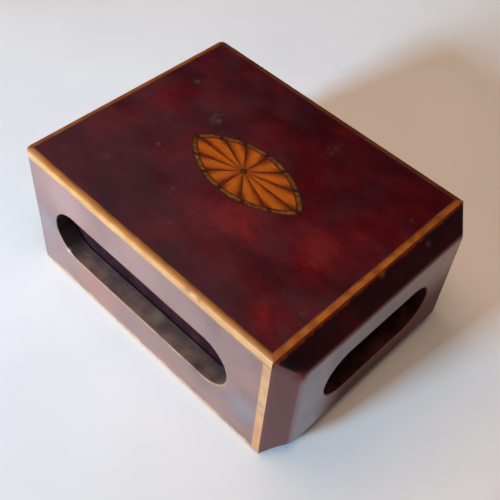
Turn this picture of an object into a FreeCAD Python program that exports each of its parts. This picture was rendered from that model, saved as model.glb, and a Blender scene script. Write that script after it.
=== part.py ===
import FreeCAD, Part
import os

# Inlaid mahogany puzzle box: a strung case with a bevelled end block, and a tray
# without a handle that is pushed out of the plain left end.
# Frame: +X along the case towards the bevelled end, +Y from the slotted front to the
# back, +Z up, origin on the table under the middle of the whole box. Millimetres.

# Driving sizes, each set once: name, value.
SIZES = (
    # Case, without the end block
    ("case_length", 58.0),
    ("case_width", 46.5),
    ("case_height", 28.5),
    ("side_thickness", 3.5),
    ("panel_thickness", 3.0),
    # Edges worn round: the left corners, the foot of the case and the top
    ("corner_radius", 1.2),
    ("base_edge_radius", 0.8),
    ("top_edge_radius", 0.5),
    # Pale string let into the edges: width on the top, depth down the sides, and the
    # width of the upright strings beside the end block
    ("string_width", 1.2),
    ("string_depth", 1.9),
    ("corner_string_width", 1.7),
    # End block: how far it stands proud, its bevel, how round the face's edges and the
    # front and back hips between bevels are worn, and the plug inside the case
    ("end_proud", 3.5),
    ("end_bevel", 3.5),
    ("end_edge_radius", 1.0),
    ("end_front_hip_radius", 3.0),
    ("end_back_hip_radius", 1.2),
    ("plug_depth", 2.5),
    ("plug_fit", 0.05),
    # Finger slots
    ("side_slot_length", 43.2),
    ("side_slot_height", 11.0),
    ("side_slot_offset", -1.0),
    ("end_slot_length", 26.5),
    ("end_slot_height", 10.6),
    ("slot_edge_radius", 0.25),
    # Fan patera in the top: its arcs would meet at points, but its tips are blunt, and
    # it and its dot are set a little off the middle
    ("patera_point_length", 25.8),
    ("patera_length", 24.8),
    ("patera_width", 12.4),
    ("patera_offset_x", 0.15),
    ("patera_offset_y", 0.45),
    ("patera_dot_offset", -0.45),
    ("patera_border", 0.95),
    ("patera_depth", 0.8),
    ("patera_dot_diameter", 1.3),
    ("ray_spread_ratio", 0.63),
    ("inlay_fit", 0.02),
    # Tray
    ("tray_gap", 0.3),
    ("tray_end_gap", 0.5),
    ("tray_wall", 2.2),
    ("tray_floor_thickness", 2.0),
    ("tray_outer_end_thickness", 3.0),
    ("tray_push_end_thickness", 2.5),
)

# How far a cutter runs past the wood that it cuts.
REACH = 1.0

# Places that several pieces share, written in the sizes above.
MIDDLE_X = "(-dims.end_proud / 2)"
LEFT_X = "(-(dims.case_length + dims.end_proud) / 2)"
RIGHT_X = "((dims.case_length - dims.end_proud) / 2)"
HALF_WIDTH = "(dims.case_width / 2)"
INNER_HALF_WIDTH = f"({HALF_WIDTH} - dims.side_thickness)"
MIDDLE_Z = "(dims.case_height / 2)"
STRING_Z = "(dims.case_height - dims.string_depth)"
INNER_TOP_Z = "(dims.case_height - dims.panel_thickness)"
PLUG_X = f"({RIGHT_X} - dims.plug_depth)"
CORNER_STRING_X = f"({RIGHT_X} - dims.corner_string_width)"

TRAY_HALF_WIDTH = f"({INNER_HALF_WIDTH} - dims.tray_gap)"
TRAY_LOW_Z = "(dims.panel_thickness + dims.tray_gap)"
TRAY_HEIGHT = f"({INNER_TOP_Z} - dims.tray_gap - {TRAY_LOW_Z})"
TRAY_RIGHT_X = f"({PLUG_X} - dims.tray_end_gap)"
TRAY_INNER_LEFT_X = f"({LEFT_X} + dims.tray_outer_end_thickness)"
TRAY_PUSH_X = f"({TRAY_RIGHT_X} - dims.tray_push_end_thickness)"
TRAY_INNER_LENGTH = f"({TRAY_PUSH_X} - {TRAY_INNER_LEFT_X})"

# The patera is a lens between two arcs, blunted by a circle round its middle. These are
# its middle, its dot, its outer arc's radius, and how far each arc's centre lies from its
# long axis.
PATERA_X = f"({MIDDLE_X} + dims.patera_offset_x)"
PATERA_Y = "dims.patera_offset_y"
PATERA_Z = "(dims.case_height - dims.patera_depth)"
DOT_X = f"({PATERA_X} + dims.patera_dot_offset)"
PATERA_RADIUS = "((dims.patera_point_length ^ 2 + dims.patera_width ^ 2) / (4 * dims.patera_width))"
PATERA_ARC_OFFSET = f"({PATERA_RADIUS} - dims.patera_width / 2)"

X_AXIS = FreeCAD.Vector(1, 0, 0)
Y_AXIS = FreeCAD.Vector(0, 1, 0)
Z_AXIS = FreeCAD.Vector(0, 0, 1)
BASE = ("Placement.Base.x", "Placement.Base.y", "Placement.Base.z")
FLAT = 1e-4

doc = FreeCAD.newDocument("puzzle_box")
dims = doc.addObject("Spreadsheet::Sheet", "dims")
for row, (alias, value) in enumerate(SIZES, start=1):
    dims.set(f"A{row}", str(value))
    dims.setAlias(f"A{row}", alias)
doc.recompute()

# The same places as numbers, for finding edges on a finished shape.
right_x = (dims.case_length - dims.end_proud) / 2
left_x = right_x - dims.case_length
face_x = right_x + dims.end_proud
half_width = dims.case_width / 2

nodes = []


def bind(feature, names, expressions):
    """Tie the named properties of a feature to their expressions."""
    for name, expression in zip(names, expressions):
        feature.setExpression(name, str(expression))
    return feature


def node(piece, label):
    """Name a finished piece and put it on the list of solids to write."""
    piece.Label = label
    nodes.append(piece)
    return piece


def new_body(label):
    """Start a piece that is shaped by features."""
    return doc.addObject("PartDesign::Body", label)


def add_box(body, low, size, kind="Additive"):
    """Add a block to a body, or take one away, from its low corner and its size."""
    box = body.newObject(f"PartDesign::{kind}Box", f"{kind}Box")
    bind(box, ("Length", "Width", "Height"), size)
    return bind(box, BASE, low)


def cut_slot(body, low, length, height, depth, run, turn):
    """Cut a slot with round ends. low is the slot's lower corner, run the direction of
    its length, and turn the rotation that lays a cylinder's axis along its depth."""
    straight = f"({length} - {height})"
    radius = f"({height} / 2)"
    first = [f"({place} + {radius} * {along})" for place, along in zip(low, run)]
    size = [f"({straight} * {along} + {depth} * {1 - along})" for along in run]
    add_box(body, first, (size[0], size[1], height), "Subtractive")
    for end in (0, 1):
        place = [f"({start} + {straight} * {end * along})" for start, along in zip(first, run)]
        round_end = body.newObject("PartDesign::SubtractiveCylinder", "SlotEnd")
        round_end.Placement = FreeCAD.Placement(FreeCAD.Vector(), turn)
        bind(round_end, ("Radius", "Height"), (radius, depth))
        bind(round_end, BASE, (place[0], place[1], f"({low[2]} + {radius})"))
    doc.recompute()


def soften(body, test, radius):
    """Round the edges of a body that pass the test."""
    doc.recompute()
    last = body.Tip
    names = [f"Edge{i}" for i, edge in enumerate(last.Shape.Edges, start=1) if test(edge)]
    if not names:
        raise RuntimeError(f"{body.Name} has no edge to round")
    fillet = body.newObject("PartDesign::Fillet", "Softened")
    fillet.Base = (last, names)
    bind(fillet, ("Radius",), (radius,))
    doc.recompute()


def lies_at(edge, axis, value):
    """True where the whole edge lies in the plane at that value of x, y or z."""
    box = edge.BoundBox
    low = (box.XMin, box.YMin, box.ZMin)[axis]
    high = (box.XMax, box.YMax, box.ZMax)[axis]
    return abs(low - value) < FLAT and abs(high - value) < FLAT


def cylinder(radius, place, depth):
    """An upright cylinder bound to its radius, its centre and its height."""
    round_bar = doc.addObject("Part::Cylinder", "Round")
    bind(round_bar, ("Radius", "Height"), (radius, depth))
    return bind(round_bar, BASE, place)


def cut(base, tool, name):
    """One piece less another."""
    result = doc.addObject("Part::Cut", name)
    result.Base = base
    result.Tool = tool
    return result


def common(shapes, name):
    """What several pieces share."""
    result = doc.addObject("Part::MultiCommon", name)
    result.Shapes = shapes
    return result


def lens(inset):
    """A lens-shaped block of the patera's outline, drawn in by an inset."""
    height = f"(dims.patera_depth + {REACH})"
    tips = cylinder(f"(dims.patera_length / 2 - {inset})", (PATERA_X, PATERA_Y, PATERA_Z), height)
    arcs = [tips]
    for side in (-1, 1):
        centre = (PATERA_X, f"({PATERA_Y} + {side} * {PATERA_ARC_OFFSET})", PATERA_Z)
        arcs.append(cylinder(f"({PATERA_RADIUS} - {inset})", centre, height))
    return common(arcs, "Lens")


# Top panel: a plate inside the strings, lapped over the sides, above a narrower plate
# that lies between them, with a recess for the patera.
def make_top_panel():
    body = new_body("TopPlates")
    add_box(
        body,
        (f"({LEFT_X} + dims.string_width)", f"(dims.string_width - {HALF_WIDTH})", STRING_Z),
        ("(dims.case_length - 2 * dims.string_width)",
         "(dims.case_width - 2 * dims.string_width)", "dims.string_depth"),
    )
    add_box(
        body,
        (LEFT_X, f"(-{INNER_HALF_WIDTH})", INNER_TOP_Z),
        ("dims.case_length", f"(2 * {INNER_HALF_WIDTH})", f"({STRING_Z} - {INNER_TOP_Z})"),
    )
    node(cut(body, lens("0"), "TopWithRecess"), "top_panel")


# Base panel: a board between the sides, its left edge worn round at the foot.
def make_base_panel():
    body = new_body("base_panel")
    add_box(
        body,
        (LEFT_X, f"(-{INNER_HALF_WIDTH})", "0"),
        ("dims.case_length", f"(2 * {INNER_HALF_WIDTH})", "dims.panel_thickness"),
    )
    soften(body, lambda edge: lies_at(edge, 0, left_x) and lies_at(edge, 2, 0), "dims.base_edge_radius")
    node(body, "base_panel")


# Front and back sides: boards up to the top strings, with a rebate for the upright
# string, a worn left corner and foot, and a finger slot.
def make_sides():
    slot_low_x = f"({MIDDLE_X} + dims.side_slot_offset - dims.side_slot_length / 2)"
    slot_low_z = f"({MIDDLE_Z} - dims.side_slot_height / 2)"
    slot_depth = f"(dims.side_thickness + {2 * REACH})"
    slot_bottom = (dims.case_height - dims.side_slot_height) / 2
    slot_top = slot_bottom + dims.side_slot_height
    along_y = FreeCAD.Rotation(X_AXIS, -90)
    for label, facing in (("front_side", -1), ("back_side", 1)):
        outer_y = facing * half_width
        low_y = f"(({facing} * ({HALF_WIDTH} + {INNER_HALF_WIDTH}) - dims.side_thickness) / 2)"
        body = new_body(label)
        add_box(body, (LEFT_X, low_y, "0"), ("dims.case_length", "dims.side_thickness", STRING_Z))

        def is_left_corner(edge):
            return lies_at(edge, 0, left_x) and lies_at(edge, 1, outer_y)

        soften(body, is_left_corner, "dims.corner_radius")
        add_box(
            body,
            (CORNER_STRING_X, corner_string_y(facing), "0"),
            ("dims.corner_string_width", "dims.string_width", STRING_Z),
            "Subtractive",
        )

        def is_foot(edge):
            box = edge.BoundBox
            end = lies_at(edge, 0, left_x)
            front = lies_at(edge, 1, outer_y)
            corner = box.XLength > FLAT and box.YLength > FLAT
            return lies_at(edge, 2, 0) and (end or front or corner)

        soften(body, is_foot, "dims.base_edge_radius")
        cut_slot(
            body,
            (slot_low_x, f"({low_y} - {REACH})", slot_low_z),
            "dims.side_slot_length", "dims.side_slot_height", slot_depth, (1, 0, 0), along_y,
        )

        def on_slot_mouth(edge):
            box = edge.BoundBox
            in_height = box.ZMin > slot_bottom - FLAT and box.ZMax < slot_top + FLAT
            return lies_at(edge, 1, outer_y) and in_height

        soften(body, on_slot_mouth, "dims.slot_edge_radius")
        node(body, label)


# End block: a low pyramid with a flat face, its plug inside the case, and the end slot.
def make_end_block():
    body = new_body("end_block")
    bevel = body.newObject("PartDesign::AdditiveWedge", "Bevelled")
    bevel.Placement = FreeCAD.Placement(FreeCAD.Vector(), FreeCAD.Rotation(Z_AXIS, -90))
    face_half = f"({HALF_WIDTH} - dims.end_bevel)"
    bind(bevel, ("Xmin", "Xmax", "Zmin", "Zmax"),
         (f"(-{HALF_WIDTH})", HALF_WIDTH, "0", "dims.case_height"))
    bind(bevel, ("X2min", "X2max", "Z2min", "Z2max"),
         (f"(-{face_half})", face_half, "dims.end_bevel", "(dims.case_height - dims.end_bevel)"))
    bind(bevel, ("Ymin", "Ymax"), ("0", "dims.end_proud"))
    bind(bevel, BASE, (RIGHT_X, "0", "0"))

    for facing, radius in ((-1, "dims.end_front_hip_radius"), (1, "dims.end_back_hip_radius")):

        def is_hip(edge):
            rises = not lies_at(edge, 0, right_x) and not lies_at(edge, 0, face_x)
            return rises and facing * edge.BoundBox.Center.y > 0

        soften(body, is_hip, radius)
    soften(body, lambda edge: lies_at(edge, 0, face_x), "dims.end_edge_radius")
    plug_low_z = "(dims.panel_thickness + dims.plug_fit)"
    add_box(
        body,
        (PLUG_X, f"(dims.plug_fit - {INNER_HALF_WIDTH})", plug_low_z),
        ("dims.plug_depth", f"(2 * ({INNER_HALF_WIDTH} - dims.plug_fit))",
         f"({INNER_TOP_Z} - dims.plug_fit - {plug_low_z})"),
    )
    cut_slot(
        body,
        (f"({PLUG_X} - {REACH})", "(-dims.end_slot_length / 2)",
         f"({MIDDLE_Z} - dims.end_slot_height / 2)"),
        "dims.end_slot_length", "dims.end_slot_height",
        f"(dims.plug_depth + dims.end_proud + {2 * REACH})",
        (0, 1, 0), FreeCAD.Rotation(Y_AXIS, 90),
    )
    slot_half = dims.end_slot_length / 2

    def on_slot_mouth(edge):
        box = edge.BoundBox
        inside = max(abs(box.YMin), abs(box.YMax)) < slot_half + FLAT
        return lies_at(edge, 0, face_x) and inside

    soften(body, on_slot_mouth, "dims.slot_edge_radius")
    node(body, "end_block")


# Strings round the top: a ring with worn outer edges, mitred into four. The end block
# stands against its right-hand side, so the edges there stay square.
def string_ring():
    body = new_body("StringRing")
    add_box(
        body,
        (LEFT_X, f"(-{HALF_WIDTH})", STRING_Z),
        ("dims.case_length", "dims.case_width", "dims.string_depth"),
    )

    def is_left_corner(edge):
        return lies_at(edge, 0, left_x) and edge.BoundBox.ZLength > FLAT

    def is_top_edge(edge):
        return lies_at(edge, 2, dims.case_height) and not lies_at(edge, 0, right_x)

    soften(body, is_left_corner, "dims.corner_radius")
    soften(body, is_top_edge, "dims.top_edge_radius")
    add_box(
        body,
        (f"({LEFT_X} + dims.string_width)", f"(dims.string_width - {HALF_WIDTH})",
         f"({STRING_Z} - {REACH})"),
        ("(dims.case_length - 2 * dims.string_width)",
         "(dims.case_width - 2 * dims.string_width)", f"(dims.string_depth + {2 * REACH})"),
        "Subtractive",
    )
    return body


def mitre_block(length, place, turn):
    """A block round one side of the ring, its ends running in at 45 degrees."""
    wedge = doc.addObject("Part::Wedge", "Mitre")
    wedge.Placement = FreeCAD.Placement(FreeCAD.Vector(), FreeCAD.Rotation(Z_AXIS, turn))
    outer = f"({length} / 2 + {REACH})"
    inner = f"({length} / 2 - dims.string_width - {REACH})"
    low = f"(-{REACH})"
    high = f"(dims.string_depth + {REACH})"
    bind(wedge, ("Xmin", "Xmax", "X2min", "X2max"),
         (f"(-{outer})", outer, f"(-{inner})", inner))
    bind(wedge, ("Ymin", "Ymax"), (low, f"(dims.string_width + {REACH})"))
    bind(wedge, ("Zmin", "Zmax", "Z2min", "Z2max"), (low, high, low, high))
    return bind(wedge, BASE, place)


def make_top_strings():
    ring = string_ring()
    stretches = (
        ("front", "dims.case_length", MIDDLE_X, f"(-{HALF_WIDTH})", 0),
        ("right", "dims.case_width", RIGHT_X, "0", 90),
        ("back", "dims.case_length", MIDDLE_X, HALF_WIDTH, 180),
        ("left", "dims.case_width", LEFT_X, "0", 270),
    )
    for side, length, x, y, turn in stretches:
        block = mitre_block(length, (x, y, STRING_Z), turn)
        node(common([ring, block], "String"), f"top_string_{side}")


# Upright strings beside the end block, in the rebates of the front and back sides.
def corner_string_y(facing):
    """Low edge of an upright string across the case."""
    return f"(({facing} * (2 * {HALF_WIDTH} - dims.string_width) - dims.string_width) / 2)"


def make_corner_strings():
    for side, facing in (("front", -1), ("back", 1)):
        outer_y = facing * half_width
        body = new_body(f"corner_string_{side}")
        add_box(
            body,
            (CORNER_STRING_X, corner_string_y(facing), "0"),
            ("dims.corner_string_width", "dims.string_width", STRING_Z),
        )
        soften(
            body,
            lambda edge: lies_at(edge, 1, outer_y) and lies_at(edge, 2, 0),
            "dims.base_edge_radius",
        )
        node(body, f"corner_string_{side}")


# Fan patera: twelve shaded rays round a dark dot, each with a slip of the border at its
# outer end. The joints between rays stand 30 degrees apart on a circle, which is then
# drawn in across the lens by the spread ratio, so that they close up towards its tips.
def make_patera():
    tip = "atan(dims.ray_spread_ratio * tan(30 deg))"
    shoulder = "atan(dims.ray_spread_ratio * tan(60 deg))"
    half_turn = ["0 deg", tip, shoulder, "90 deg", f"180 deg - {shoulder}", f"180 deg - {tip}"]
    joints = half_turn + [f"180 deg + {angle}" for angle in half_turn] + ["360 deg"]
    centre = (DOT_X, PATERA_Y, PATERA_Z)
    dot_radius = "(dims.patera_dot_diameter / 2)"
    outer = lens("dims.inlay_fit")
    border_hole = lens("dims.patera_border")
    inner = lens("(dims.patera_border + dims.inlay_fit)")
    dot_hole = cylinder(f"({dot_radius} + dims.inlay_fit)", centre, f"(dims.patera_depth + {REACH})")
    for i, (start, end) in enumerate(zip(joints, joints[1:]), start=1):
        sector = cylinder("dims.patera_length", centre, "dims.patera_depth")
        bind(sector, ("Angle", "Placement.Rotation.Angle"), (f"({end}) - ({start})", start))
        ray = cut(common([inner, sector], "RayBlank"), dot_hole, "Ray")
        node(ray, f"patera_ray_{i:02d}")
        slip = cut(common([outer, sector], "SlipBlank"), border_hole, "Slip")
        node(slip, f"patera_border_{i:02d}")
    node(cylinder(dot_radius, centre, "dims.patera_depth"), "patera_dot")


# Tray: a floor and two sides between two ends. The outer end closes the case's left
# opening, and the push end lies behind the end slot.
def make_tray():
    low_y = f"(-{TRAY_HALF_WIDTH})"
    width = f"(2 * {TRAY_HALF_WIDTH})"
    side_z = f"({TRAY_LOW_Z} + dims.tray_floor_thickness)"
    side_height = f"({TRAY_HEIGHT} - dims.tray_floor_thickness)"
    back_y = f"({TRAY_HALF_WIDTH} - dims.tray_wall)"
    boards = (
        ("tray_outer_end", (LEFT_X, low_y, TRAY_LOW_Z),
         ("dims.tray_outer_end_thickness", width, TRAY_HEIGHT)),
        ("tray_push_end", (TRAY_PUSH_X, low_y, TRAY_LOW_Z),
         ("dims.tray_push_end_thickness", width, TRAY_HEIGHT)),
        ("tray_floor", (TRAY_INNER_LEFT_X, low_y, TRAY_LOW_Z),
         (TRAY_INNER_LENGTH, width, "dims.tray_floor_thickness")),
        ("tray_front_side", (TRAY_INNER_LEFT_X, low_y, side_z),
         (TRAY_INNER_LENGTH, "dims.tray_wall", side_height)),
        ("tray_back_side", (TRAY_INNER_LEFT_X, back_y, side_z),
         (TRAY_INNER_LENGTH, "dims.tray_wall", side_height)),
    )
    for label, low, size in boards:
        body = new_body(label)
        add_box(body, low, size)
        if label == "tray_outer_end":
            soften(body, lambda edge: lies_at(edge, 0, left_x), "dims.slot_edge_radius")
        node(body, label)


make_top_panel()
make_base_panel()
make_sides()
make_end_block()
make_top_strings()
make_corner_strings()
make_patera()
make_tray()
doc.recompute()

for item in doc.Objects:
    if "Invalid" in item.State or "Error" in item.State:
        raise RuntimeError(f"{item.Name} ({item.Label}) failed: {item.State}")
for piece in nodes:
    shape = piece.Shape
    if shape.isNull() or not shape.isValid() or len(shape.Solids) != 1:
        raise RuntimeError(f"{piece.Label} is not one valid solid")

os.makedirs("parts", exist_ok=True)
for piece in nodes:
    piece.Shape.exportStep(f"parts/{piece.Label}.step")
    print(f"{piece.Label}: {piece.Shape.Volume:.2f} mm3")
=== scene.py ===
import math

import bpy
import numpy as np
from mathutils import Euler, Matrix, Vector


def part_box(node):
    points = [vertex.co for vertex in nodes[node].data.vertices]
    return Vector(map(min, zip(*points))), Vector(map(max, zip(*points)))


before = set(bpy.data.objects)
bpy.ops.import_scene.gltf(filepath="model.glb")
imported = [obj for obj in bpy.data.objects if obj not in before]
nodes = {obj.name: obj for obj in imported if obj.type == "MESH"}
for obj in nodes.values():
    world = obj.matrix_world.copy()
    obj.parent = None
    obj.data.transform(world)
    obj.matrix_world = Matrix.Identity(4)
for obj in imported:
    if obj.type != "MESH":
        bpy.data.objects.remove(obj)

# Looks of the inlaid mahogany puzzle box. Blender's unit is the metre, and every size
# below is in millimetres until MM turns it.
MM = 0.001
X, Y, Z = range(3)
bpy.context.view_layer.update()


def corners(*names):
    """Lowest and highest corner of the named nodes together, in millimetres."""
    boxes = np.array([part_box(name) for name in names]) / MM
    return boxes[:, 0].min(axis=0), boxes[:, 1].max(axis=0)


RAYS = [name for name in nodes if name.startswith("patera_ray")]
SLIPS = [name for name in nodes if name.startswith("patera_border")]
TRAY_BOARDS = [name for name in nodes if name.startswith("tray_")]

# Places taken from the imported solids.
front_low, front_high = corners("front_side")
end_high = corners("end_block")[1]
lens_low, lens_high = corners(*SLIPS)
dot_low, dot_high = corners("patera_dot")
LEFT_X = front_low[0]
RIGHT_X = front_high[0]
MIDDLE_X = (LEFT_X + RIGHT_X) / 2
FACE_X = end_high[0]
HALF_WIDTH = end_high[1]
FRONT_Y = -HALF_WIDTH
INNER_Y = -front_high[1]
HEIGHT = end_high[2]
STRING_Z = front_high[2]
CORNER_STRING_X = corners("corner_string_front")[0][0]

# Slots as the solids have them: middle along the wall, half the straight length, radius.
SIDE_SLOT = (-2.75, 16.1, 5.5)
END_SLOT = (0.0, 7.95, 5.3)
SLOT_Z = HEIGHT / 2

# Bevels of the end block: how far from the middle the upright ones meet the end face.
BEVEL_Y = HALF_WIDTH - (FACE_X - RIGHT_X)

# Fan patera: joints stand RAY_STEP degrees apart on a circle drawn in by RAY_SPREAD,
# inside a lens of two arcs, which would meet at points but end in blunt tips, with a
# border of narrow slips.
DOT_X, DOT_Y = ((dot_low + dot_high) / 2)[:2]
RAY_STEP = 30.0
RAY_SPREAD = 0.63
LENS_X, LENS_Y = ((lens_low + lens_high) / 2)[:2]
LENS_LENGTH, LENS_WIDTH = (lens_high - lens_low)[:2]
POINT_LENGTH = 25.8
LENS_RADIUS = (POINT_LENGTH ** 2 + LENS_WIDTH ** 2) / (4 * LENS_WIDTH)
LENS_OFFSET = LENS_RADIUS - LENS_WIDTH / 2
BORDER = 0.95

# Eased edges of the tray's boards, and the worn arrises of the end block.
EASED_EDGE = 0.15
WORN_ARRIS = 0.9

# Camera, measured from the photograph's edges, with its angles in degrees.
CAMERA_TARGET = (3.05, -1.86, 14.25)
CAMERA_AZIMUTH = 40.15
CAMERA_ELEVATION = 50.03
CAMERA_DISTANCE = 144.5
CAMERA_ROLL = 5.86
CAMERA_LENS = 58.7
CAMERA_SENSOR = 36.0
CAMERA_CLIP = 5.0

# Floor card: half its side, and how far from the box it begins and ends to fade into the
# backdrop. The room is dim, apart from that backdrop.
FLOOR_HALF = 3000.0
FLOOR_FADE = (160.0, 420.0)
FLOOR_MOTTLE = (40.0, 40.0, 40.0)
BACKDROP = "#e4e6ea"
DIM_ROOM = "#292729"

# Colours of the light, as linear red, green and blue.
SKYLIGHT = (0.44, 0.74, 1.0)
LAMPLIGHT = (1.0, 0.7, 0.5)
CEILING_LIGHT = (1.0, 0.72, 0.54)

# Mahogany: features of its figure and of the bloom on its polish along X, Y and Z, and
# the length and width of its grain, of its pores and of the strokes on bare wood. Pores
# are shaded, as a share of the wood's own tone, and lie a little below the surface.
FIGURE = (9.0, 7.0, 7.0)
BLOOM = (8.0, 7.0, 7.0)
GRAIN = (10.0, 0.45)
PORES = (1.7, 0.16)
PORE_DEPTH = 0.02
PORE_SHADE = 0.62
STROKES = (7.0, 0.5)
STROKE_MOTTLE = (3.5, 3.0, 3.0)
PLANED_GRAIN = (14.0, 0.8)
PLANED_PORES = (2.2, 0.14)
PLANED_PORE_DEPTH = 0.04

# French polish: refraction of the wood and of the polish, roughness of bare wood, and
# the strength of the coat where the polish is whole.
WOOD_IOR = 1.5
POLISH_IOR = 1.55
BARE_ROUGHNESS = 0.7
WHOLE_COAT = 0.85

# Boxwood, satinwood, sycamore and ebony: grain and mottle. Satinwood has so many streaks
# across a ray, and so many per millimetre along it.
BOXWOOD_GRAIN = (6.0, 0.3)
BOXWOOD_GRAIN_DEPTH = 0.03
BOXWOOD_MOTTLE = (3.0, 3.0, 3.0)
SATINWOOD_STREAKS = 7.0
SATINWOOD_STREAK_RATE = 0.35
SATINWOOD_GRAIN_DEPTH = 0.02
SYCAMORE_MOTTLE = (1.1, 1.1, 1.1)
EBONY_GRAIN = (0.3, 0.3, 0.3)

# Tones of bare wood, from its dark grain to its light.
PLANED = ((0.55, "#4a2418"), (0.72, "#6e3a26"), (0.9, "#8f5438"))
# Below: dark tones for the tray's outer faces, partly a stain and partly painted shade, as they show
# through the slots as the box's dark inside.
STAIN_AND_SHADE = ((0.55, "#240b11"), (0.72, "#331119"), (0.9, "#471c22"))
GREYED = ((0.55, "#594340"), (0.72, "#6b4f48"), (0.9, "#7f5e50"))
# Below: dark purplish tones for the end slot's bare walls, painted shade for the inside of the slot.
SHADED = ((0.55, "#241018"), (0.72, "#36161c"), (0.9, "#502a2a"))

# Tones of boxwood under old polish, brightest in front and darkest at the back.
HONEY = ((0.4, "#cb7a2d"), (0.6, "#dc8b3c"), (0.85, "#eca253"))
PEACH = ((0.4, "#b36c3c"), (0.6, "#cb814b"), (0.85, "#dc985f"))
RUSSET = ((0.4, "#672a07"), (0.6, "#883f08"), (0.85, "#ad5e14"))
BROWN = ((0.4, "#6e350c"), (0.6, "#8c4814"), (0.85, "#ad6426"))

# Areas where the figure of the top is lighter or darker: x, y, radius and strength.
TOP_AREAS = (
    (4.0, -8.0, 12.0, 0.28), (17.0, -3.0, 9.0, 0.28), (23.0, -17.0, 7.0, 0.17),
    (21.5, 6.0, 8.0, 0.14), (4.0, -20.0, 8.0, -0.12), (-25.5, -5.0, 6.0, 0.16),
    (-24.0, 3.0, 8.0, 0.08), (-6.0, -11.0, 6.0, 0.14), (-10.0, -18.0, 12.0, -0.2),
    (-4.0, 21.0, 13.0, -0.1), (15.0, 20.0, 12.0, -0.12), (-19.0, 15.0, 8.0, -0.1),
)

# Pale scuffs in the polish of the top: x, y, radius and strength.
TOP_SCUFFS = (
    (-16.6, -5.9, 0.6, 0.5), (-14.5, 6.2, 2.2, 0.19), (-24.5, 10.7, 1.0, 0.25),
    (-7.0, -10.9, 0.6, 0.3), (24.7, -13.8, 1.0, 0.18), (24.2, 12.8, 0.7, 0.2),
    (-1.6, -16.3, 0.7, 0.25), (-26.2, -18.4, 1.2, 0.2), (-20.0, -14.5, 1.4, 0.15),
    (5.0, 15.7, 2.2, 0.1),
)
SCUFF_BREAKS = (1.1, 1.1, 1.1)

# Areas where the figure of the front is lighter or darker: x, z, radius and strength.
FRONT_AREAS = (
    (-20.0, 23.0, 8.0, 0.12), (-12.0, 4.0, 7.0, 0.14), (23.0, 18.0, 4.0, 0.14),
    (8.0, 24.0, 9.0, -0.08), (22.0, 6.0, 8.0, -0.12),
)

# Areas of the front that have faded, warm or grey: x, z, radius, strength and tone.
FRONT_FADES = (
    (-14.0, 5.0, 9.0, 0.8, "#a55a4a"), (-21.0, 24.5, 11.0, 0.65, "#bd8177"),
    (24.0, 19.5, 4.0, 0.5, "#a3655c"), (-2.0, 25.0, 11.0, 0.55, "#b2796e"),
    (-28.0, 12.0, 6.0, 0.7, "#7d7276"), (23.0, 10.0, 5.5, 0.65, "#7b7378"),
    (6.0, 3.0, 14.0, 0.7, "#8c554a"), (-28.0, 4.0, 6.0, 0.4, "#84696a"),
)

# Rubbed and dirty spots in and beside the front slot, the last a painted highlight, a pale
# glint on the lower left of its mouth: place, radius, strength and tone.
SLOT_MARKS_AND_GLINT = (
    ((-0.2, -20.6, 9.0), 2.6, 0.55, "#a98a68"), ((12.0, -22.4, 8.8), 2.2, 0.6, "#33221c"),
    ((-21.8, FRONT_Y, 9.2), 0.8, 0.6, "#d8c8c0"),
)

# Chips beside the right string and a worn near hip, on the end block.
END_MARKS = (
    ((RIGHT_X + 0.3, -22.8, 28.1), 1.1, 0.7, "#a8501c"),
    ((RIGHT_X + 0.3, 0.8, 28.2), 1.0, 0.6, "#97521a"),
    ((RIGHT_X + 1.2, 12.0, 27.2), 0.9, 0.15, "#9a8480"),
    ((FACE_X - 0.5, -BEVEL_Y - 0.4, HEIGHT - 3.8), 1.8, 0.7, "#702a22"),
)

# Chips and rubbed spots on the front string and on the upright one, and old polish that
# darkens the two far corners of the top.
FRONT_CHIPS = (
    ((9.7, FRONT_Y, 28.2), 0.9, 0.6, "#7a3f18"), ((12.3, FRONT_Y, 28.2), 0.8, 0.6, "#7a3f18"),
    ((11.0, FRONT_Y, 28.0), 0.8, 0.3, "#f2cfa4"), ((-29.0, FRONT_Y, 27.5), 5.0, 0.25, "#b58a66"),
)
CORNER_MARKS = (
    ((26.2, FRONT_Y, 15.6), 1.3, 0.6, "#8b7468"), ((26.9, FRONT_Y, 13.6), 0.9, 0.5, "#84695c"),
)
DARK_CORNER = (((LEFT_X + 0.3, HALF_WIDTH - 0.4, HEIGHT), 5.0, 0.7, "#4a1a14"),)
DARK_END = (((RIGHT_X - 0.6, 18.0, HEIGHT), 10.0, 0.45, "#5e2a06"),)

# Polish grime over the two tips of the patera.
TIP_GRIME = (
    ((LENS_X - LENS_LENGTH / 2, LENS_Y, HEIGHT), 1.6, 0.7, "#3a0a0e"),
    ((LENS_X + LENS_LENGTH / 2, LENS_Y, HEIGHT), 1.2, 0.9, "#35100c"),
)


def linear(colour):
    """A colour written as an sRGB hex value, as linear red, green, blue and alpha."""
    parts = [int(colour[i:i + 2], 16) / 255 for i in (1, 3, 5)]
    return [p / 12.92 if p <= 0.04045 else ((p + 0.055) / 1.055) ** 2.4 for p in parts] + [1.0]


def add(tree, kind, inputs=None, stops=(), **settings):
    """Add a shader node with its settings, constants, links and ramp stops. Gives its output."""
    made = tree.nodes.new("ShaderNode" + kind)
    for name, value in settings.items():
        setattr(made, name, value)
    for socket, value in (inputs or {}).items():
        if isinstance(value, bpy.types.NodeSocket):
            tree.links.new(value, made.inputs[socket])
        else:
            made.inputs[socket].default_value = value
    for i, (position, colour) in enumerate(stops):
        elements = made.color_ramp.elements
        element = elements[i] if i < len(elements) else elements.new(1.0)
        element.position = position
        element.color = linear(colour)
    return next(socket for socket in made.outputs if socket.enabled)


def new_material(name):
    """A material, its tree, its shader, and the place on the piece in millimetres."""
    material = bpy.data.materials.new(name)
    material.use_nodes = True
    tree = material.node_tree
    object_place = add(tree, "TexCoord").node.outputs["Object"]
    place = add(tree, "VectorMath", {0: object_place, "Scale": 1 / MM}, operation="SCALE")
    return material, tree, tree.nodes["Principled BSDF"], place


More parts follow.
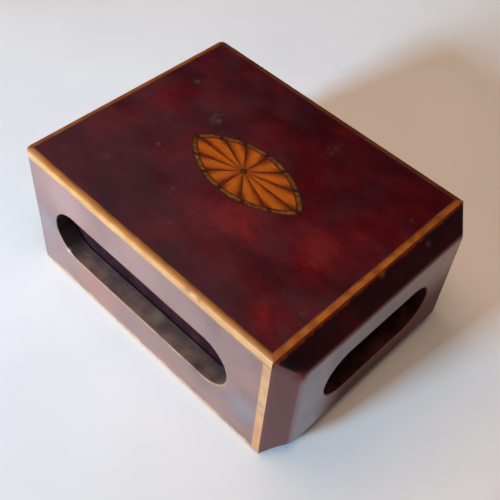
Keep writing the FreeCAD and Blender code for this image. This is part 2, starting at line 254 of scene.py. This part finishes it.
def plug(tree, shader, **sockets):
    """Set shader sockets, named with _ for a space, to a constant or to a node's output."""
    for name, value in sockets.items():
        socket = shader.inputs[name.replace("_", " ")]
        if isinstance(value, bpy.types.NodeSocket):
            tree.links.new(value, socket)
        else:
            socket.default_value = value


def run(long, fine, axis):
    """Feature sizes along X, Y and Z of a grain that runs along one axis."""
    return [long if i == axis else fine for i in range(3)]


def cloud(tree, place, spans, detail=3.0, roughness=0.5, distortion=0.0, shift=0.0):
    """Noise whose features span so many millimetres along X, Y and Z."""
    scaled = add(
        tree, "VectorMath", {0: place, 1: [1 / span for span in spans], 2: [shift] * 3},
        operation="MULTIPLY_ADD",
    )
    return add(tree, "TexNoise", {
        "Vector": scaled, "Scale": 1.0, "Detail": detail, "Roughness": roughness,
        "Distortion": distortion,
    })


def spread(tree, noise, low, high):
    """Noise, which lies mostly between 0.3 and 0.7, spread out from low to high."""
    return add(tree, "MapRange", {0: noise, 1: 0.3, 2: 0.7, 3: low, 4: high})


def wander(tree, place, span, reach, detail=3.0, roughness=0.6, shift=0.0):
    """How far a ragged edge strays to either side, up to its reach."""
    ragged = cloud(tree, place, (span, span, span), detail, roughness, 0.0, shift)
    return spread(tree, ragged, -reach, reach)


def fade(tree, value, start, end, low=0.0, high=1.0):
    """Go smoothly from low to high while a value goes from start to end."""
    return add(
        tree, "MapRange", {0: value, 1: start, 2: end, 3: low, 4: high},
        interpolation_type="SMOOTHSTEP",
    )


def both(tree, one, other):
    """The share that holds where two shares hold at once, their product."""
    return add(tree, "Math", {0: one, 1: other}, operation="MULTIPLY")


def lay(tree, colour, tone, share, blend="MIX"):
    """Lay a tone, a hex value or a node's colour, over a colour by a share from 0 to 1."""
    over = tone if isinstance(tone, bpy.types.NodeSocket) else linear(tone)
    return add(
        tree, "Mix", {"Factor": share, "A": colour, "B": over}, data_type="RGBA", blend_type=blend,
    )


def patch(tree, place, centre, radius, strength):
    """A soft round patch: its strength in the middle, nothing at its radius."""
    near = add(tree, "VectorMath", {0: place, 1: centre}, operation="DISTANCE")
    return fade(tree, near, radius, 0.0, high=strength)


def mark(tree, place, colour, marks):
    """Lay soft round marks over a colour. A mark is its centre, radius, strength and tone."""
    for centre, radius, strength, tone in marks:
        colour = lay(tree, colour, tone, patch(tree, place, centre, radius, strength))
    return colour


def slot_distance(tree, along, up, slot):
    """How far a point lies outside a round-ended slot: its distance from the slot's
    straight middle line, less the slot's radius."""
    middle, half_straight, radius = slot
    offset = add(tree, "Math", {0: along, 1: middle}, operation="SUBTRACT")
    beyond = add(tree, "Math", {0: offset}, operation="ABSOLUTE")
    beyond = add(tree, "Math", {0: beyond, 1: half_straight}, operation="SUBTRACT")
    beyond = add(tree, "Math", {0: beyond, 1: 0.0}, operation="MAXIMUM")
    rise = add(tree, "Math", {0: up, 1: SLOT_Z}, operation="SUBTRACT")
    pair = add(tree, "CombineXYZ", {0: beyond, 1: rise})
    reach = add(tree, "VectorMath", {0: pair}, operation="LENGTH")
    return add(tree, "Math", {0: reach, 1: radius}, operation="SUBTRACT")


def mahogany(tree, place, axis, tones, bloom_tone, bloom, lean=(0.0, 0.0, 0.0), patches=()):
    """Colour and relief of French-polished mahogany. A red-brown clouded figure, fine
    grain along one axis and short dark pores, under a film of polish that has bloomed to
    a cool grey in clouds; on the top and the sides this grey film is partly a painted
    reflection. bloom is the film's least and greatest strength, lean how much it grows per
    millimetre along X, Y and Z, and patches are lighter or darker areas."""
    figure = cloud(tree, place, FIGURE, detail=6.0, roughness=0.68, distortion=0.2)
    grain = cloud(tree, place, run(*GRAIN, axis))
    pores = cloud(tree, place, run(*PORES, axis), detail=2.0)
    tone = add(tree, "Math", {0: grain, 1: 0.16, 2: figure}, operation="MULTIPLY_ADD")
    for centre, radius, strength in patches:
        tone = add(tree, "Math", {0: tone, 1: patch(tree, place, centre, radius, strength)})
    wood = add(tree, "ValToRGB", {0: tone}, tones)
    shade = add(tree, "MapRange", {0: pores, 1: 0.56, 2: 0.7, 3: 1.0, 4: PORE_SHADE})
    wood = lay(tree, wood, shade, 1.0, "MULTIPLY")
    film = cloud(tree, place, BLOOM, distortion=0.2, shift=7.3)
    slope = add(tree, "VectorMath", {0: place, 1: lean}, operation="DOT_PRODUCT")
    film = add(tree, "Math", {0: film, 1: slope})
    colour = lay(tree, wood, bloom_tone, fade(tree, film, 0.2, 0.8, *bloom))
    return colour, film, pores


def lay_bare(tree, place, colour, bare, axis, tones):
    """Show planed wood with no polish, streaked along one axis, where bare is 1."""
    strokes = cloud(tree, place, run(*STROKES, axis), detail=4.0, roughness=0.65)
    mottle = cloud(tree, place, STROKE_MOTTLE, roughness=0.55, shift=4.4)
    tone = add(tree, "Math", {0: strokes, 1: 0.45, 2: mottle}, operation="MULTIPLY_ADD")
    return lay(tree, colour, add(tree, "ValToRGB", {0: tone}, tones), bare)


def finish_polish(tree, shader, colour, film, pores, matt, shine):
    """Set a shader to polished wood: matt is its middle roughness, and shine how much of
    the polish is left, 0 on bare wood."""
    rough = spread(tree, film, matt - 0.07, matt + 0.1)
    rough = add(tree, "Mix", {"Factor": shine, "A": BARE_ROUGHNESS, "B": rough}, data_type="FLOAT")
    relief = add(tree, "Bump", {"Height": pores, "Strength": 0.1, "Distance": PORE_DEPTH * MM})
    plug(
        tree, shader, Base_Color=colour, Roughness=rough, Coat_Weight=both(tree, shine, WHOLE_COAT),
        Normal=relief, IOR=WOOD_IOR, Specular_IOR_Level=0.12, Coat_Roughness=0.13, Coat_IOR=POLISH_IOR,
    )


def top_mahogany():
    """The top: deep red-brown polish, redder round the patera's near side, cooler and
    hazier towards the front left, where the bloom is partly a painted reflection, with a few
    small pale scuffs. Planed below."""
    material, tree, shader, place = new_material("polished_mahogany_top")
    tones = ((0.3, "#2a030a"), (0.54, "#3f060c"), (0.74, "#57090d"), (0.98, "#7c180f"))
    # The bloom that grows towards the front left is partly a painted reflection.
    lean = (-0.0046, -0.0095, 0.0)
    patches = [((x, y, HEIGHT), radius, strength) for x, y, radius, strength in TOP_AREAS]
    colour, film, pores = mahogany(tree, place, X, tones, "#6a5863", (0.0, 0.125), lean, patches)
    breaks = cloud(tree, place, SCUFF_BREAKS, detail=4.0, roughness=0.6, shift=6.2)
    broken = fade(tree, breaks, 0.36, 0.7)
    for x, y, radius, strength in TOP_SCUFFS:
        scuff = patch(tree, place, (x, y, HEIGHT), radius, strength)
        colour = lay(tree, colour, "#9a8480", both(tree, scuff, broken))
    z = add(tree, "SeparateXYZ", {0: place}).node.outputs["Z"]
    bare_z = HEIGHT - 0.6
    polished_z = HEIGHT - 0.3
    colour = lay_bare(tree, place, colour, fade(tree, z, polished_z, bare_z), X, PLANED)
    shine = fade(tree, z, bare_z, polished_z)
    finish_polish(tree, shader, colour, film, pores, matt=0.3, shine=shine)
    return material


def side_mahogany():
    """Front and back: the same wood faded, under a heavy grey bloom that is partly a painted
    reflection, with worn pale arrises at the foot and the left corner, and a pale line along
    the slot's lower lip that is partly wear and partly a painted highlight. The slot walls
    and the inner face are bare, with painted shade at the slot's left end and a painted
    glint at the lower left of the slot's mouth."""
    material, tree, shader, place = new_material("bloomed_mahogany_sides")
    tones = ((0.36, "#4a2a2b"), (0.5, "#633836"), (0.62, "#7c473f"), (0.78, "#935648"))
    lean = (-0.001, 0.0, 0.002)
    patches = [((x, FRONT_Y, z), radius, strength) for x, z, radius, strength in FRONT_AREAS]
    # The heavy grey bloom here is partly a painted reflection of the pale floor, lighter towards the
    # top left.
    colour, film, pores = mahogany(tree, place, X, tones, "#9f6d61", (0.2, 0.78), lean, patches)
    colour = mark(tree, place, colour, [((x, FRONT_Y, z), *rest) for x, z, *rest in FRONT_FADES])
    x, y, z = add(tree, "SeparateXYZ", {0: place}).node.outputs
    depth = add(tree, "Math", {0: y}, operation="ABSOLUTE")
    nick = wander(tree, place, 1.6, 0.25)

    from_left = add(tree, "Math", {0: x, 1: LEFT_X}, operation="SUBTRACT")
    from_left = add(tree, "Math", {0: from_left, 1: nick})
    within = fade(tree, depth, HALF_WIDTH - 0.2, HALF_WIDTH - 0.6)
    colour = lay(tree, colour, "#43100f", both(tree, fade(tree, from_left, 0.8, 0.5), within))
    outer = fade(tree, depth, HALF_WIDTH - 0.8, HALF_WIDTH - 0.45)
    colour = lay(tree, colour, "#bf9488", both(tree, fade(tree, from_left, 0.85, 0.55), outer))
    from_foot = add(tree, "Math", {0: z, 1: nick})
    colour = lay(tree, colour, "#df9c5e", fade(tree, from_foot, 1.5, 1.0))

    outside = slot_distance(tree, x, z, SIDE_SLOT)
    lip = fade(tree, add(tree, "Math", {0: outside, 1: nick}), 0.5, 0.15)
    # Partly wear, partly a painted highlight: a pale line along the slot's lower lip, where it would
    # catch the light.
    worn_and_lit_lower_lip = both(tree, lip, fade(tree, z, SLOT_Z, SLOT_Z - 4.0))
    colour = lay(tree, colour, "#bd8458", worn_and_lit_lower_lip)

    past_inner = fade(tree, depth, INNER_Y + 0.1, INNER_Y + 0.3)
    polished = both(tree, fade(tree, outside, 0.04, 0.1), past_inner)
    bare = add(tree, "Math", {0: 1.0, 1: polished}, operation="SUBTRACT")
    colour = lay_bare(tree, place, colour, bare, X, GREYED)
    # Painted shade: the bare walls darken towards the slot's left end.
    darkening = both(tree, bare, fade(tree, x, -19.0, -22.5, high=0.8))
    colour = lay(tree, colour, "#1e1317", darkening)
    colour = mark(tree, place, colour, SLOT_MARKS_AND_GLINT)
    finish_polish(tree, shader, colour, film, pores, matt=0.4, shine=polished)
    return material


def end_mahogany():
    """The end block: dark red-brown polish, with a painted reflection that lightens and cools
    the top and the near side of its face and a warmer painted reflection at the far side,
    with arrises worn to a warm red. Its upright bevels have faded to grey brown, the bevel
    along the top is painted darkest as shade, a painted glow of bounced light lies below
    the slot, and the slot walls are bare, in dark tones that stand for painted shade."""
    material, tree, shader, place = new_material("polished_mahogany_end")
    tones = ((0.4, "#1c030a"), (0.52, "#2a050c"), (0.66, "#3a070d"), (0.84, "#541010"))
    colour, film, pores = mahogany(tree, place, Y, tones, "#7c6468", (0.0, 0.015))
    x, y, z = add(tree, "SeparateXYZ", {0: place}).node.outputs

    # Painted reflection: the face is made lighter and cooler along the top and the near side, as if
    # mirroring the lit floor, and warmer at the far side, as if mirroring the floor in shadow. The
    # same mask also sets how much polish coat is left.
    on_face = fade(tree, x, FACE_X - 0.55, FACE_X - 0.1)
    near_side = fade(tree, y, -5.0, -15.0)
    upper = fade(tree, z, 10.0, 21.0, low=0.15, high=0.8)
    reflection_and_coat = add(tree, "Math", {0: near_side, 1: upper}, operation="MAXIMUM")
    reflection_and_coat = add(tree, "Mix", {"Factor": on_face, "A": 0.15, "B": reflection_and_coat}, data_type="FLOAT")
    painted_floor_reflection = both(tree, both(tree, reflection_and_coat, on_face), 0.55)
    colour = lay(tree, colour, "#946d78", painted_floor_reflection)
    painted_warm_reflection = both(tree, on_face, fade(tree, y, 4.0, 16.0, high=0.42))
    colour = lay(tree, colour, "#804a48", painted_warm_reflection)

    rounded = add(tree, "Bevel", {"Radius": WORN_ARRIS * MM}, samples=6)
    flat = add(tree, "NewGeometry").node.outputs["True Normal"]
    facing = add(tree, "VectorMath", {0: rounded, 1: flat}, operation="DOT_PRODUCT")
    arris = add(tree, "MapRange", {0: facing, 1: 0.995, 2: 0.9, 4: 0.75})
    colour = lay(tree, colour, "#6f2a26", arris)

    # The hips lie where a point is as far from the side as from the top.
    depth = add(tree, "Math", {0: y}, operation="ABSOLUTE")
    from_side = add(tree, "Math", {0: HALF_WIDTH, 1: depth}, operation="SUBTRACT")
    from_top = add(tree, "Math", {0: HEIGHT, 1: z}, operation="SUBTRACT")
    past_hip = add(tree, "Math", {0: from_side, 1: from_top}, operation="SUBTRACT")
    past_face = fade(tree, depth, BEVEL_Y - 0.2, BEVEL_Y + 0.4, high=0.56)
    upright_bevel = both(tree, fade(tree, past_hip, 0.2, -0.3), past_face)
    colour = lay(tree, colour, "#8c5c57", upright_bevel)
    # Painted shade: the bevel along the top is darkened, as if it lay in shade.
    behind_face = fade(tree, x, FACE_X - 0.2, FACE_X - 0.8, high=0.4)
    painted_top_bevel_shade = both(tree, behind_face, fade(tree, past_hip, -0.3, 0.2))
    colour = lay(tree, colour, "#10020a", painted_top_bevel_shade)

    from_string = add(tree, "Math", {0: x, 1: RIGHT_X}, operation="SUBTRACT")
    from_string = add(tree, "Math", {0: from_string, 1: wander(tree, place, 1.4, 0.25, shift=2.4)})
    beside_string = fade(tree, from_string, 0.45, 0.1, high=0.7)
    chipped = both(tree, beside_string, fade(tree, z, HEIGHT - 2.0, HEIGHT - 1.0))
    colour = lay(tree, colour, "#7d3410", chipped)
    colour = mark(tree, place, colour, END_MARKS)

    outside = slot_distance(tree, y, z, END_SLOT)
    # Painted light: a warm glow, as of light bounced up from the floor, on the face below the slot and
    # on its lower lip.
    below = fade(tree, z, SLOT_Z - 3.0, SLOT_Z - 5.0)
    painted_bounce_light = both(tree, fade(tree, outside, 3.0, 0.1, high=0.6), below)
    colour = lay(tree, colour, "#8a4a36", painted_bounce_light)
    # Painted shade: the slot's bare walls take the dark shaded tones.
    polished = fade(tree, outside, 0.04, 0.1)
    bare = fade(tree, outside, 0.1, 0.04)
    colour = lay_bare(tree, place, colour, bare, X, SHADED)
    shine = both(tree, reflection_and_coat, polished)
    finish_polish(tree, shader, colour, film, pores, matt=0.36, shine=shine)
    return material


def left_mahogany():
    """The tray's outer end: dark red polish with grain along Y outside, planed inside."""
    material, tree, shader, place = new_material("polished_mahogany_left_end")
    tones = ((0.36, "#2c060b"), (0.54, "#3f0a0e"), (0.68, "#551010"), (0.88, "#741c14"))
    colour, film, pores = mahogany(tree, place, Y, tones, "#6e5a62", (0.02, 0.2))
    x = add(tree, "SeparateXYZ", {0: place}).node.outputs["X"]
    polished_x = LEFT_X + 0.7
    bare_x = LEFT_X + 1.1
    colour = lay_bare(tree, place, colour, fade(tree, x, polished_x, bare_x), Y, PLANED)
    shine = fade(tree, x, bare_x, polished_x)
    finish_polish(tree, shader, colour, film, pores, matt=0.33, shine=shine)
    return material


def bare_mahogany(name, axis):
    """Planed mahogany with no polish: matt, with drawn-out grain and open pores along
    one axis."""
    material, tree, shader, place = new_material(name)
    pores = cloud(tree, place, run(*PLANED_PORES, axis), detail=2.0)
    grain = cloud(tree, place, run(*PLANED_GRAIN, axis), roughness=0.55, distortion=0.5)
    tone = add(tree, "Math", {0: pores, 1: 0.45, 2: grain}, operation="MULTIPLY_ADD")
    colour = add(tree, "ValToRGB", {0: tone}, PLANED)
    relief = add(tree, "Bump", {"Height": pores, "Strength": 0.3, "Distance": PLANED_PORE_DEPTH * MM})
    rough = spread(tree, grain, 0.55, 0.72)
    plug(tree, shader, Base_Color=colour, Roughness=rough, Normal=relief, Specular_IOR_Level=0.15)
    return material, tree, shader, place, colour


def tray_mahogany(name, axis, through, board):
    """A tray board, planed inside and dark outside, a stain that is partly painted shade,
    since the outer faces show through the slots as the box's dark inside. axis is where its
    grain runs and through the axis of its thickness, on which its outer face lies further out."""
    material, tree, shader, place, colour = bare_mahogany(name, axis)
    low, high = (abs(corner[through]) for corner in corners(board))
    middle = (low + high) / 2
    depth = add(tree, "SeparateXYZ", {0: place}).node.outputs[through]
    depth = add(tree, "Math", {0: depth}, operation="ABSOLUTE")
    outside = fade(tree, depth, middle - 0.2, middle + 0.2)
    plug(tree, shader, Base_Color=lay_bare(tree, place, colour, outside, axis, STAIN_AND_SHADE))
    return material


def boxwood(name, axis, tones):
    """Boxwood string under old polish: close straight grain along one axis, honey orange."""
    material, tree, shader, place = new_material(name)
    grain = cloud(tree, place, run(*BOXWOOD_GRAIN, axis), detail=4.0, roughness=0.6)
    mottle = cloud(tree, place, BOXWOOD_MOTTLE, roughness=0.6, shift=3.1)
    tone = add(tree, "Math", {0: grain, 1: 0.5, 2: mottle}, operation="MULTIPLY_ADD")
    colour = add(tree, "ValToRGB", {0: tone}, tones)
    rough = spread(tree, mottle, 0.32, 0.5)
    relief = add(
        tree, "Bump", {"Height": grain, "Strength": 0.15, "Distance": BOXWOOD_GRAIN_DEPTH * MM},
    )
    plug(tree, shader, Roughness=rough, Normal=relief, Coat_Weight=0.5, Coat_Roughness=0.2)
    return material, tree, shader, place, colour


def top_boxwood(name, axis, tones, crown, marks):
    """A string round the top, darkened where it meets the top and the side. crown is the
    tint of old polish on its top face."""
    material, tree, shader, place, colour = boxwood(name, axis, tones)
    x, y, z = add(tree, "SeparateXYZ", {0: place}).node.outputs
    across = add(tree, "Math", {0: y}, operation="ABSOLUTE")
    across = add(tree, "Math", {0: HALF_WIDTH, 1: across}, operation="SUBTRACT")
    along = add(tree, "Math", {0: x, 1: MIDDLE_X}, operation="SUBTRACT")
    along = add(tree, "Math", {0: along}, operation="ABSOLUTE")
    along = add(tree, "Math", {0: RIGHT_X - MIDDLE_X, 1: along}, operation="SUBTRACT")
    from_edge = add(tree, "Math", {0: across, 1: along}, operation="MINIMUM")
    colour = lay(tree, colour, crown, fade(tree, z, HEIGHT - 0.4, HEIGHT - 0.05), "MULTIPLY")
    nick = wander(tree, place, 3.0, 0.12, detail=4.0, shift=5.7)
    from_edge = add(tree, "Math", {0: from_edge, 1: nick})
    colour = lay(tree, colour, "#4a2412", fade(tree, from_edge, 0.7, 1.2, high=0.9))
    from_joint = add(tree, "Math", {0: z, 1: nick})
    joint_line = fade(tree, from_joint, STRING_Z + 0.55, STRING_Z + 0.2, high=0.85)
    colour = lay(tree, colour, "#8a6660", joint_line)
    plug(tree, shader, Base_Color=mark(tree, place, colour, marks))
    return material


def corner_boxwood():
    """An upright string: peach above, more orange below, greyed at mid height, with a dark
    joint along the side."""
    material, tree, shader, place, colour = boxwood("boxwood_corner_strings", Z, PEACH)
    x, _, z = add(tree, "SeparateXYZ", {0: place}).node.outputs
    colour = lay(tree, colour, "#cb7a34", fade(tree, z, 14.0, 4.0, high=0.55))
    colour = mark(tree, place, colour, CORNER_MARKS)
    from_side = add(tree, "Math", {0: x, 1: CORNER_STRING_X}, operation="SUBTRACT")
    colour = lay(tree, colour, "#5b3320", fade(tree, from_side, 0.3, 0.0, high=0.6))
    plug(tree, shader, Base_Color=colour)
    return material


def fan_angle(tree, place):
    """The turn round the patera's dot, in steps from joint to joint."""
    x, y, _ = add(tree, "SeparateXYZ", {0: place}).node.outputs
    across = add(tree, "Math", {0: x, 1: DOT_X}, operation="SUBTRACT")
    along = add(tree, "Math", {0: y, 1: DOT_Y}, operation="SUBTRACT")
    along = add(tree, "Math", {0: along, 1: RAY_SPREAD}, operation="DIVIDE")
    turn = add(tree, "Math", {0: along, 1: across}, operation="ARCTAN2")
    return add(tree, "Math", {0: turn, 1: math.radians(RAY_STEP)}, operation="DIVIDE")


def lens_depth(tree, place):
    """How far a point of the patera lies inside its lens: the least that is left of the
    radius of its two arcs and of the circle that blunts its tips."""
    arcs = ((-LENS_OFFSET, LENS_RADIUS), (LENS_OFFSET, LENS_RADIUS), (0.0, LENS_LENGTH / 2))
    left = []
    for offset, radius in arcs:
        centre = (LENS_X, LENS_Y + offset, HEIGHT)
        reach = add(tree, "VectorMath", {0: place, 1: centre}, operation="DISTANCE")
        left.append(add(tree, "Math", {0: radius, 1: reach}, operation="SUBTRACT"))
    least = add(tree, "Math", {0: left[0], 1: left[1]}, operation="MINIMUM")
    return add(tree, "Math", {0: least, 1: left[2]}, operation="MINIMUM")


def shaded_satinwood():
    """Sand-shaded satinwood: each slip was dipped in hot sand on one side, so it goes
    from scorched brown at one joint to bright orange at the next. Its fine grain runs
    outwards."""
    material, tree, shader, place = new_material("shaded_satinwood")
    step = fan_angle(tree, place)
    centre = (DOT_X, DOT_Y, HEIGHT)
    radius = add(tree, "VectorMath", {0: place, 1: centre}, operation="DISTANCE")
    fan = add(tree, "CombineXYZ", {
        0: add(tree, "Math", {0: step, 1: SATINWOOD_STREAKS}, operation="MULTIPLY"),
        1: add(tree, "Math", {0: radius, 1: SATINWOOD_STREAK_RATE}, operation="MULTIPLY"),
    })
    grain = add(tree, "TexNoise", {"Vector": fan, "Scale": 1.0, "Detail": 3.0})
    blur = wander(tree, place, 0.9, 0.08, detail=4.0, roughness=0.65)
    shade = add(tree, "Math", {0: add(tree, "Math", {0: step}, operation="FRACT"), 1: blur})
    colour = add(tree, "ValToRGB", {0: shade}, (
        (0.0, "#b4570d"), (0.5, "#ae530f"), (0.68, "#933f0b"), (0.84, "#6a2607"), (1.0, "#441206"),
    ))
    colour = lay(tree, colour, spread(tree, grain, 0.86, 1.12), 1.0, "MULTIPLY")
    colour = lay(tree, colour, "#6b2c0c", fade(tree, radius, 3.2, 0.6, high=0.6))
    from_border = lens_depth(tree, place)
    colour = lay(tree, colour, "#5a2209", fade(tree, from_border, BORDER + 0.35, BORDER, high=0.6))
    from_joint = add(tree, "Math", {0: step, 1: 0.5}, operation="PINGPONG")
    beside_border = fade(tree, from_border, BORDER + 2.4, BORDER, high=0.85)
    colour = lay(tree, colour, "#4c1808", both(tree, fade(tree, from_joint, 0.3, 0.06), beside_border))
    relief = add(
        tree, "Bump", {"Height": grain, "Strength": 0.08, "Distance": SATINWOOD_GRAIN_DEPTH * MM},
    )
    plug(
        tree, shader, Base_Color=colour, Roughness=spread(tree, grain, 0.36, 0.48), Normal=relief,
        Coat_Weight=0.3, Coat_Roughness=0.18, Specular_IOR_Level=0.2,
    )
    return material


def green_sycamore():
    """Green-dyed sycamore of the border, gone olive brown, with a dark line of glue along
    both edges, a dark break at each joint, and polish grime over the two tips."""
    material, tree, shader, place = new_material("green_sycamore")
    step = fan_angle(tree, place)
    depth = lens_depth(tree, place)
    mottle = cloud(tree, place, SYCAMORE_MOTTLE, roughness=0.6)
    tones = ((0.32, "#4a250d"), (0.5, "#693c15"), (0.68, "#845320"))
    colour = add(tree, "ValToRGB", {0: mottle}, tones)
    colour = lay(tree, colour, "#2c1009", fade(tree, depth, 0.24, 0.1, high=0.85))
    colour = lay(tree, colour, "#2c1009", fade(tree, depth, BORDER - 0.24, BORDER - 0.08, high=0.85))
    from_joint = add(tree, "Math", {0: step, 1: 0.5}, operation="PINGPONG")
    colour = lay(tree, colour, "#260d08", fade(tree, from_joint, 0.13, 0.03, high=0.9))
    colour = mark(tree, place, colour, TIP_GRIME)
    plug(
        tree, shader, Base_Color=colour, Roughness=spread(tree, mottle, 0.34, 0.48), Coat_Weight=0.3,
        Coat_Roughness=0.18, Specular_IOR_Level=0.2,
    )
    return material


def ebony():
    """Ebony plug: near black, with a little brown in its fine end grain."""
    material, tree, shader, place = new_material("ebony_dot")
    grain = cloud(tree, place, EBONY_GRAIN)
    colour = add(tree, "ValToRGB", {0: grain}, ((0.35, "#2a150b"), (0.65, "#5a3216")))
    rough = spread(tree, grain, 0.3, 0.45)
    plug(tree, shader, Base_Color=colour, Roughness=rough, Specular_IOR_Level=0.2)
    return material


def dress(material, *names):
    """Give CAD nodes a material."""
    for name in names:
        nodes[name].material_slots[0].material = material


def ease(width, names):
    """Weld the loose triangles of straight boards and round their edges a little."""
    for name in names:
        weld = nodes[name].modifiers.new("weld", "WELD")
        weld.merge_threshold = 0.001 * MM
        rounding = nodes[name].modifiers.new("eased_edges", "BEVEL")
        rounding.width = width * MM
        rounding.segments = 2
        rounding.angle_limit = math.radians(40)


def put(name, data):
    """Add an object that holds this data to the scene."""
    made = bpy.data.objects.new(name, data)
    bpy.context.scene.collection.objects.link(made)
    return made


def direction(azimuth, elevation):
    """The way towards an azimuth, from the front round to the right, and an elevation."""
    turn = math.radians(azimuth)
    lift = math.radians(elevation)
    return Vector((math.sin(turn) * math.cos(lift), -math.cos(turn) * math.cos(lift), math.sin(lift)))


def card_floor():
    """A white card floor, a flat square that fades into the backdrop far from the box."""
    half = FLOOR_HALF * MM
    mesh = bpy.data.meshes.new("floor")
    outline = [(-half, -half, 0), (half, -half, 0), (half, half, 0), (-half, half, 0)]
    mesh.from_pydata(outline, [], [(0, 1, 2, 3)])
    material, tree, shader, place = new_material("white_card")
    mottle = cloud(tree, place, FLOOR_MOTTLE)
    colour = add(tree, "ValToRGB", {0: mottle}, ((0.3, "#e6e6e6"), (0.7, "#eeeeee")))
    plug(tree, shader, Base_Color=colour, Roughness=0.9, Specular_IOR_Level=0.1)
    away = add(tree, "VectorMath", {0: place}, operation="LENGTH")
    seen_far = both(tree, add(tree, "LightPath"), fade(tree, away, *FLOOR_FADE))
    backdrop = add(tree, "Emission", {"Color": linear(BACKDROP)})
    mix = add(tree, "MixShader", {0: seen_far, 1: shader.outputs[0], 2: backdrop})
    tree.links.new(mix, tree.nodes["Material Output"].inputs["Surface"])
    mesh.materials.append(material)
    put("floor", mesh)


def make_world():
    """A dim room, seen by the camera as a pale grey backdrop."""
    world = bpy.data.worlds.new("room")
    world.use_nodes = True
    tree = world.node_tree
    room = tree.nodes["Background"]
    plug(tree, room, Color=linear(DIM_ROOM))
    backdrop = add(tree, "Background", {"Color": linear(BACKDROP)})
    seen = add(tree, "LightPath")
    mix = add(tree, "MixShader", {0: seen, 1: room.outputs[0], 2: backdrop})
    tree.links.new(mix, tree.nodes["World Output"].inputs["Surface"])
    bpy.context.scene.world = world


def area_lamp(name, azimuth, elevation, distance, size, power, colour, target, spread_angle=180.0):
    """A square lamp in the direction of azimuth and elevation from its target."""
    lamp = bpy.data.lights.new(name, "AREA")
    lamp.size = size * MM
    lamp.energy = power
    lamp.color = colour
    lamp.spread = math.radians(spread_angle)
    away = direction(azimuth, elevation)
    made = put(name, lamp)
    made.location = (Vector(target) + away * distance) * MM
    made.rotation_euler = away.to_track_quat("Z", "Y").to_euler()


def make_camera():
    """The camera at the photograph's angle, turned about its own axis by the roll."""
    data = bpy.data.cameras.new("camera")
    data.lens = CAMERA_LENS
    data.sensor_width = CAMERA_SENSOR
    data.clip_start = CAMERA_CLIP * MM
    camera = put("camera", data)
    away = direction(CAMERA_AZIMUTH, CAMERA_ELEVATION)
    camera.location = (Vector(CAMERA_TARGET) + away * CAMERA_DISTANCE) * MM
    tilt = math.radians(90 - CAMERA_ELEVATION)
    upright = Euler((tilt, 0, math.radians(CAMERA_AZIMUTH))).to_matrix()
    roll = Euler((0, 0, math.radians(CAMERA_ROLL))).to_matrix()
    camera.rotation_euler = (upright @ roll).to_euler()
    bpy.context.scene.camera = camera


# The finish of each piece.
dress(top_mahogany(), "top_panel")
dress(side_mahogany(), "front_side", "back_side")
dress(end_mahogany(), "end_block")
dress(left_mahogany(), "tray_outer_end")
dress(tray_mahogany("tray_side_mahogany", X, Y, "tray_back_side"), "tray_front_side", "tray_back_side")
dress(tray_mahogany("tray_push_end_mahogany", Y, X, "tray_push_end"), "tray_push_end")
dress(bare_mahogany("planed_mahogany_floors", X)[0], "tray_floor", "base_panel")
dress(top_boxwood("boxwood_front_string", X, HONEY, "#bfb193", FRONT_CHIPS), "top_string_front")
dress(top_boxwood("boxwood_right_string", Y, RUSSET, "#ffffff", DARK_END), "top_string_right")
dress(top_boxwood("boxwood_back_string", X, BROWN, "#8f7562", DARK_CORNER), "top_string_back")
dress(top_boxwood("boxwood_left_string", Y, BROWN, "#e6ddd0", DARK_CORNER), "top_string_left")
dress(corner_boxwood(), "corner_string_front", "corner_string_back")
dress(shaded_satinwood(), *RAYS)
dress(green_sycamore(), *SLIPS)
dress(ebony(), "patera_dot")
ease(EASED_EDGE, TRAY_BOARDS)

# Floor, light and camera: a low window in front, a lamp on the left and one overhead.
card_floor()
make_world()
area_lamp(
    "window", azimuth=-5, elevation=21, distance=600, size=120, power=0.315, colour=SKYLIGHT,
    target=(-46, -22, 0), spread_angle=36.0,
)
area_lamp(
    "room_lamp", azimuth=-78, elevation=64, distance=750, size=450, power=1.9, colour=LAMPLIGHT,
    target=(0, 10, 0),
)
area_lamp(
    "ceiling", azimuth=50, elevation=78, distance=700, size=350, power=1.7, colour=CEILING_LIGHT,
    target=(0, 0, 0),
)
make_camera()
bpy.context.scene.view_settings.view_transform = "Standard"
